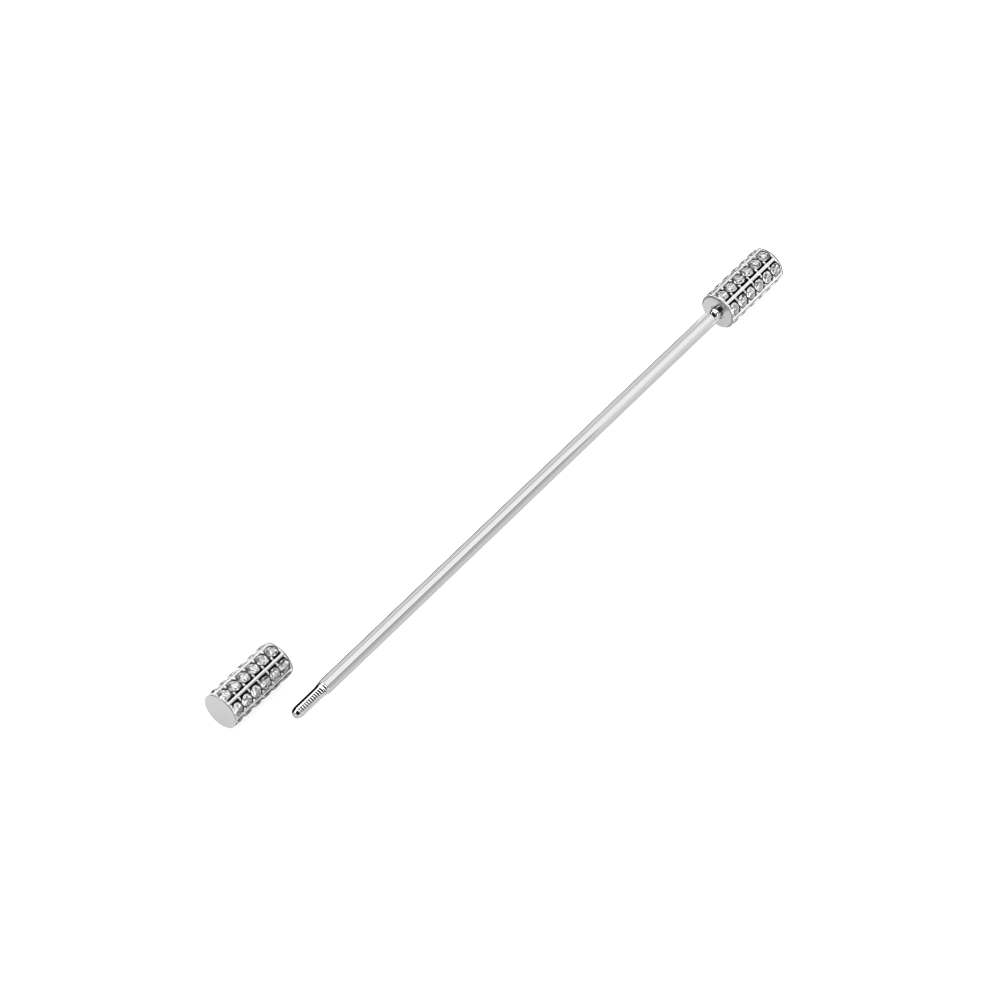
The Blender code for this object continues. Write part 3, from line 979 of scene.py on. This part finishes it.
def set_stones(prefix, barrel_place, body):
    for row, row_name in enumerate(ROW_NAMES):
        for number, x in enumerate(stone_places, start=1):
            turn = TURN_STEP * (row * STONES_IN_ROW + number)
            seat = row_frame(row, x) @ Matrix.Translation((0, 0, girdle_height))
            lean = Matrix.Rotation(TILT, 4, (math.cos(turn), math.sin(turn), 0))
            matrix = barrel_place @ seat @ lean @ Matrix.Rotation(turn, 4, "Z")
            stood_for = [] if row_name in JOINED_ROWS else [f"{prefix}_stone_{row_name}_{number}"]
            name = f"{prefix}_brilliant_{row_name}_{number}"
            stone = brilliant.copy()
            stone.transform(matrix)
            place(name, stone, Matrix.Identity(4), body, "clear_stone", *stood_for)


set_stones("head", head_place, "pin")
set_stones("cap", cap_place, "cap")
print("stones set", 2 * ROWS * STONES_IN_ROW)

# %% [markdown]
# The studio is a white floor under a soft overhead light. The floor glows for the camera and
# for what the metal and the stones see, and the rest of its white is lit by the lamp and the
# room, so a soft shadow stays where the pin touches it.

# %% Lay the floor
FLOOR_REACH = 1.5
FLOOR_GLOW = 0.8
FLOOR_LEVEL = 0.3
FLOOR_GAP = 0.005 * MM


def grey(level):
    return (level, level, level, 1.0)


def reckoned(nodes, links, operation, *values):
    """One step of arithmetic. Each value is a plain number or the output of another node."""
    step = nodes.new("ShaderNodeMath")
    step.operation = operation
    for value, socket in zip(values, step.inputs):
        if isinstance(value, bpy.types.NodeSocket):
            links.new(value, socket)
        else:
            socket.default_value = value
    return step.outputs["Value"]


def floor_material():
    material, nodes, links = new_material("white_table")
    nodes.clear()
    ray = nodes.new("ShaderNodeLightPath").outputs
    seen = reckoned(nodes, links, "MAXIMUM", ray["Is Camera Ray"], ray["Is Glossy Ray"])
    seen = reckoned(nodes, links, "MAXIMUM", seen, ray["Is Transmission Ray"])
    glow = nodes.new("ShaderNodeEmission")
    links.new(reckoned(nodes, links, "MULTIPLY", seen, FLOOR_GLOW), glow.inputs["Strength"])
    matt = nodes.new("ShaderNodeBsdfDiffuse")
    matt.inputs["Color"].default_value = grey(FLOOR_LEVEL)
    both = nodes.new("ShaderNodeAddShader")
    links.new(glow.outputs[0], both.inputs[0])
    links.new(matt.outputs[0], both.inputs[1])
    output = nodes.new("ShaderNodeOutputMaterial")
    links.new(both.outputs[0], output.inputs["Surface"])
    return material


def lying(left, right, front, back):
    """Corners of a sheet that lies flat."""
    return [(left, front, 0), (right, front, 0), (right, back, 0), (left, back, 0)]


def studio_sheet(name, corners, material):
    """A flat sheet through its corners, which belongs to the studio and not to the pin."""
    shape = bmesh.new()
    shape.faces.new([shape.verts.new(corner) for corner in corners])
    sheet = new_object(name, mesh_from(name, shape, material))
    return sheet


floor_corners = lying(-FLOOR_REACH, FLOOR_REACH, -FLOOR_REACH, FLOOR_REACH)
floor = studio_sheet("white_floor", floor_corners, floor_material())
floor.location.z = cad_low.z - FLOOR_GAP
print("floor at", floor.location.z)

# %% [markdown]
# The air round the pin is a pale room that is brightest overhead. It has one grading in front of
# the pin and one behind it, with a soft change between them. Each is a list of heights, from 0
# at the horizon to 1 overhead, with a level for each.

# %% Grade the room
TURN_OF_ROOM = 0.12
FRONT_LEVELS = [(0.0, 0.62), (0.14, 0.7), (0.36, 0.82), (0.54, 0.92), (0.7, 1.0)]
BACK_LEVELS = [
    (0.0, 0.66), (0.3, 0.64), (0.36, 0.9), (0.42, 0.9), (0.5, 0.62), (0.74, 0.66), (0.84, 1.0)
]


def level_ramp(nodes, links, height, levels):
    """The room's brightness from the horizon, at 0, to overhead, at 1."""
    ramp = nodes.new("ShaderNodeValToRGB")
    stops = ramp.color_ramp.elements
    stops.remove(stops[1])
    stops[0].position = levels[0][0]
    stops[0].color = grey(levels[0][1])
    for position, level in levels[1:]:
        stops.new(position).color = grey(level)
    links.new(height, ramp.inputs["Fac"])
    return ramp.outputs["Color"]


def soft_change(nodes, links, value, start, end):
    """0 where a value is below the start, 1 where it is past the end, and soft between them."""
    change = nodes.new("ShaderNodeMapRange")
    change.interpolation_type = "SMOOTHSTEP"
    change.inputs["From Min"].default_value = start
    change.inputs["From Max"].default_value = end
    links.new(value, change.inputs["Value"])
    return change.outputs["Result"]


def graded_room(nodes, links, parts):
    """Mixes the two gradings by how far a direction points along Y."""
    side = soft_change(nodes, links, parts["Y"], -TURN_OF_ROOM, TURN_OF_ROOM)
    front = level_ramp(nodes, links, parts["Z"], FRONT_LEVELS)
    back = level_ramp(nodes, links, parts["Z"], BACK_LEVELS)
    return colour_mix(nodes, links, side, front, back)


print("room levels", len(FRONT_LEVELS), "in front and", len(BACK_LEVELS), "behind")

# %% [markdown]
# A round surface that runs along X, such as the wire or a rib, mirrors only the band of the room
# that lies at one slant to X, and there the room is smooth. Outside that band it is broken into
# bright and dark panels, as by the lamps and stands of a studio, because only the cut stones look
# there and panels make them lively. In a low view the lens looks past the floor's edge, and there
# it sees plain white.

# %% Light the room
ROOM_LEVEL = 0.93
PANEL_SCALE = 7.0
PANEL_DARK = 0.0
PANEL_LIGHT = 2.7
PANEL_SHARE = 0.45
BAND_MIDDLE = 0.52
BAND_HALF_WIDTH = 0.1
BAND_FADE = 0.06


def room_panels(nodes, links, direction):
    """Flat patches of light and dark that cover the room."""
    panels = nodes.new("ShaderNodeTexVoronoi")
    panels.inputs["Scale"].default_value = PANEL_SCALE
    links.new(direction, panels.inputs["Vector"])
    chosen = nodes.new("ShaderNodeSeparateColor")
    links.new(panels.outputs["Color"], chosen.inputs[0])
    patches = nodes.new("ShaderNodeValToRGB")
    patches.color_ramp.interpolation = "CONSTANT"
    patches.color_ramp.elements[0].color = grey(PANEL_DARK)
    patches.color_ramp.elements[1].position = PANEL_SHARE
    patches.color_ramp.elements[1].color = grey(PANEL_LIGHT)
    links.new(chosen.outputs[0], patches.inputs["Fac"])
    return patches.outputs["Color"]


def outside_band(nodes, links, along_x):
    """0 in the smooth band that wire and ribs mirror, and 1 well outside it."""
    offset = reckoned(nodes, links, "SUBTRACT", along_x, BAND_MIDDLE)
    away = reckoned(nodes, links, "ABSOLUTE", offset)
    return soft_change(nodes, links, away, BAND_HALF_WIDTH, BAND_HALF_WIDTH + BAND_FADE)


def paint_room():
    world = bpy.data.worlds.new("pale_room")
    bpy.context.scene.world = world
    world.use_nodes = True
    nodes = world.node_tree.nodes
    links = world.node_tree.links
    direction = nodes.new("ShaderNodeTexCoord").outputs["Generated"]
    parts = nodes.new("ShaderNodeSeparateXYZ")
    links.new(direction, parts.inputs[0])
    graded = graded_room(nodes, links, parts.outputs)
    panels = room_panels(nodes, links, direction)
    outside = outside_band(nodes, links, parts.outputs["X"])
    room = colour_mix(nodes, links, outside, graded, panels)
    seen = nodes.new("ShaderNodeLightPath").outputs["Is Camera Ray"]
    background = nodes["Background"]
    white = grey(1 / ROOM_LEVEL)
    links.new(colour_mix(nodes, links, seen, room, white), background.inputs["Color"])
    background.inputs["Strength"].default_value = ROOM_LEVEL


paint_room()
print("room level", ROOM_LEVEL, "with panels of", PANEL_LIGHT)

# %% [markdown]
# One large round lamp hangs over the pin, a little towards the soldered barrel, for the soft
# shadow. The metal doesn't mirror it, or a bright round patch would show on the wire.

# %% Hang the lamp
LAMP_PLACE = Vector((0.1, 0.0, 0.5))
LAMP_SIZE = 0.5
LAMP_WATTS = 0.3

lamp_data = bpy.data.lights.new("overhead_lamp", "AREA")
lamp_data.shape = "DISK"
lamp_data.size = LAMP_SIZE
lamp_data.energy = LAMP_WATTS
lamp = new_object("overhead_lamp", lamp_data)
lamp.location = LAMP_PLACE
lamp.visible_glossy = False
aim(lamp, -LAMP_PLACE)
print("lamp of", LAMP_WATTS, "W at a height of", LAMP_PLACE.z)

# %% [markdown]
# Metal in an even room looks flat and milky, so a photographer stands white, grey and black cards
# just out of view. Their edges are the crisp lines that run along a polished wire. A card far
# away changes every piece, and a small one close to a piece changes only that piece. All of them
# are seen only in reflections, and they throw no shadow.

# %% Make a card
WHITE_LEVEL = 1.0
BLACK_LEVEL = 0.015


def card_material(name, front, back):
    """A glow that changes along Y, from the level at the front edge to that at the back edge."""
    material, nodes, links = new_material(name)
    nodes.clear()
    parts = nodes.new("ShaderNodeSeparateXYZ")
    links.new(nodes.new("ShaderNodeTexCoord").outputs["Generated"], parts.inputs[0])
    glow = nodes.new("ShaderNodeEmission")
    shade = colour_mix(nodes, links, parts.outputs["Y"], grey(front), grey(back))
    links.new(shade, glow.inputs["Color"])
    output = nodes.new("ShaderNodeOutputMaterial")
    links.new(glow.outputs[0], output.inputs["Surface"])
    return material


def stand_card(name, corners, front, back=None):
    """A card through four corners, with a level at its front edge and one at its back edge."""
    card = studio_sheet(name, corners, card_material(name, front, front if back is None else back))
    card.visible_camera = False
    card.visible_diffuse = False
    card.visible_shadow = False
    print("card", name, "at level", front)


def standing(left, right, y, top):
    """Corners of a card that stands on the table, along X."""
    return [(left, y, 0), (right, y, 0), (right, y, top), (left, y, top)]


# %% [markdown]
# The large cards shade the sides of the wire and of the ribs. One leans in front and ends short
# of the barrel, two lie on the table before the pin and one behind it, and a black one stands
# well back.

# %% Stand the large cards
CARD_DISTANCE = 0.15
CARD_TOP_ANGLE = math.radians(38)
CARD_LEFT = 0.02
CARD_RIGHT = 0.1
CARD_LEVELS = (0.54, 0.36)
TABLE_REACH = 0.4
TABLE_CARD_NEAR = 0.0027
TABLE_CARD_STEP = 0.006
TABLE_CARD_RIGHT = 0.0245
TABLE_CARD_LEVELS = (0.44, 0.62)
FAR_CARD_RIGHT = 0.05
BACK_CARD_NEAR = 0.0005
BACK_CARD_LEFT = -0.022
BACK_CARD_LEVEL = 0.5
WING_LEFT = -1.2
WING_RIGHT = 0.09
WING_DISTANCE = 0.3
WING_TOP_ANGLE = math.radians(56)

card_top = CARD_DISTANCE * Vector((0, -math.sin(CARD_TOP_ANGLE), math.cos(CARD_TOP_ANGLE)))
front_corners = [
    (CARD_LEFT, -CARD_DISTANCE, 0),
    (CARD_RIGHT, -CARD_DISTANCE, 0),
    (CARD_RIGHT, card_top.y, card_top.z),
    (CARD_LEFT, card_top.y, card_top.z),
]
stand_card("front_card", front_corners, *CARD_LEVELS)
far_corners = lying(-TABLE_REACH, FAR_CARD_RIGHT, -CARD_DISTANCE, -TABLE_CARD_STEP)
stand_card("table_card", far_corners, *TABLE_CARD_LEVELS)
near_corners = lying(-TABLE_REACH, TABLE_CARD_RIGHT, -TABLE_CARD_STEP, -TABLE_CARD_NEAR)
stand_card("near_table_card", near_corners, TABLE_CARD_LEVELS[1])
back_corners = lying(BACK_CARD_LEFT, TABLE_REACH, BACK_CARD_NEAR, CARD_DISTANCE)
stand_card("back_table_card", back_corners, BACK_CARD_LEVEL)
wing_top = WING_DISTANCE / math.tan(WING_TOP_ANGLE)
stand_card("back_wing", standing(WING_LEFT, WING_RIGHT, WING_DISTANCE, wing_top), BLACK_LEVEL)

# %% [markdown]
# A black curtain hangs round the camera, because a studio is darkened behind the lens. Whatever
# faces the lens squarely mirrors it.

# %% Hang the curtain
CURTAIN_HALF_TURN = math.radians(43)
CURTAIN_LOW = -0.9
CURTAIN_HIGH = 0.35

across = Vector((1, 0, 0)).cross(toward_camera).normalized()
along = toward_camera.cross(across)
half_width = math.tan(CURTAIN_HALF_TURN)
curtain_corners = [
    toward_camera + side * half_width * across + run * along
    for side, run in ((1, CURTAIN_LOW), (1, CURTAIN_HIGH), (-1, CURTAIN_HIGH), (-1, CURTAIN_LOW))
]
stand_card("camera_curtain", curtain_corners, BLACK_LEVEL)

# %% [markdown]
# The small cards each serve one piece. Black ones lie under the cap's shaded side and along the
# wire as painted shade: seen only in reflections, they stand for the shade under the cap and the
# wire's own shadow on the table. One stands behind the thread, which gives the fine dark lines
# there. White ones stand beside the barrels for the bright edges of the ribs, and a pale one
# stands far beyond the fixed barrel for whatever slopes away from the tip. A lying card is noted
# as its left, right, front and back, and a standing one as its left, right, distance and top.

# %% Stand the small cards
UNDER_CARD = (-0.0300, -0.0232, 0.0, 0.0034)
UNDER_LEVEL = 0.02
TIP_CARD = (-0.0310, -0.0266, -0.0029, -0.0003)
TIP_LEVEL = 0.5
SHAFT_CARD = (-0.0225, 0.0212, -0.0015, 0.0005)
SHAFT_CARD_LEVEL = 0.04
THREAD_CARD = (-0.0268, -0.0231, -0.00085, 0.0016)
HEAD_CARD = (0.0292, 0.0420, -0.0100, 0.0060)
BEHIND_HEAD_CARD = (0.0300, 0.0440, 0.0100, 0.0060)
BEHIND_CAP_CARD = (-0.0262, -0.0190, 0.0100, 0.0060)
END_CARD_DISTANCE = 0.3
END_CARD_HALF_WIDTH = 0.12
END_CARD_TOP = 0.12
END_LEVEL = 0.85

# Painted shade: these two black sheets stand for the shade under the cap and the wire's shadow.
stand_card("shade_card_under_the_cap", lying(*UNDER_CARD), UNDER_LEVEL)
stand_card("tip_card", lying(*TIP_CARD), TIP_LEVEL)
stand_card("shadow_card_along_the_shaft", lying(*SHAFT_CARD), SHAFT_CARD_LEVEL)
stand_card("card_behind_the_thread", standing(*THREAD_CARD), BLACK_LEVEL)
stand_card("card_before_the_barrel", standing(*HEAD_CARD), WHITE_LEVEL)
stand_card("card_behind_the_barrel", standing(*BEHIND_HEAD_CARD), WHITE_LEVEL)
stand_card("card_behind_the_cap", standing(*BEHIND_CAP_CARD), WHITE_LEVEL)
end_corners = [
    (END_CARD_DISTANCE, -END_CARD_HALF_WIDTH, 0),
    (END_CARD_DISTANCE, END_CARD_HALF_WIDTH, 0),
    (END_CARD_DISTANCE, END_CARD_HALF_WIDTH, END_CARD_TOP),
    (END_CARD_DISTANCE, -END_CARD_HALF_WIDTH, END_CARD_TOP),
]
stand_card("end_card", end_corners, END_LEVEL)

# %% [markdown]
# Light that enters a stone is thrown about inside it many times before it comes out, so the light
# paths are made long enough for that, and a narrow pixel filter keeps the small facets crisp.

# %% Finish
FILTER_WIDTH = 0.8
LONGEST_PATH = 24
STONE_PATH = 16

bpy.context.scene.view_settings.view_transform = "Standard"
bpy.context.scene.cycles.filter_width = FILTER_WIDTH
bpy.context.scene.cycles.max_bounces = LONGEST_PATH
bpy.context.scene.cycles.glossy_bounces = STONE_PATH
bpy.context.scene.cycles.transmission_bounces = STONE_PATH
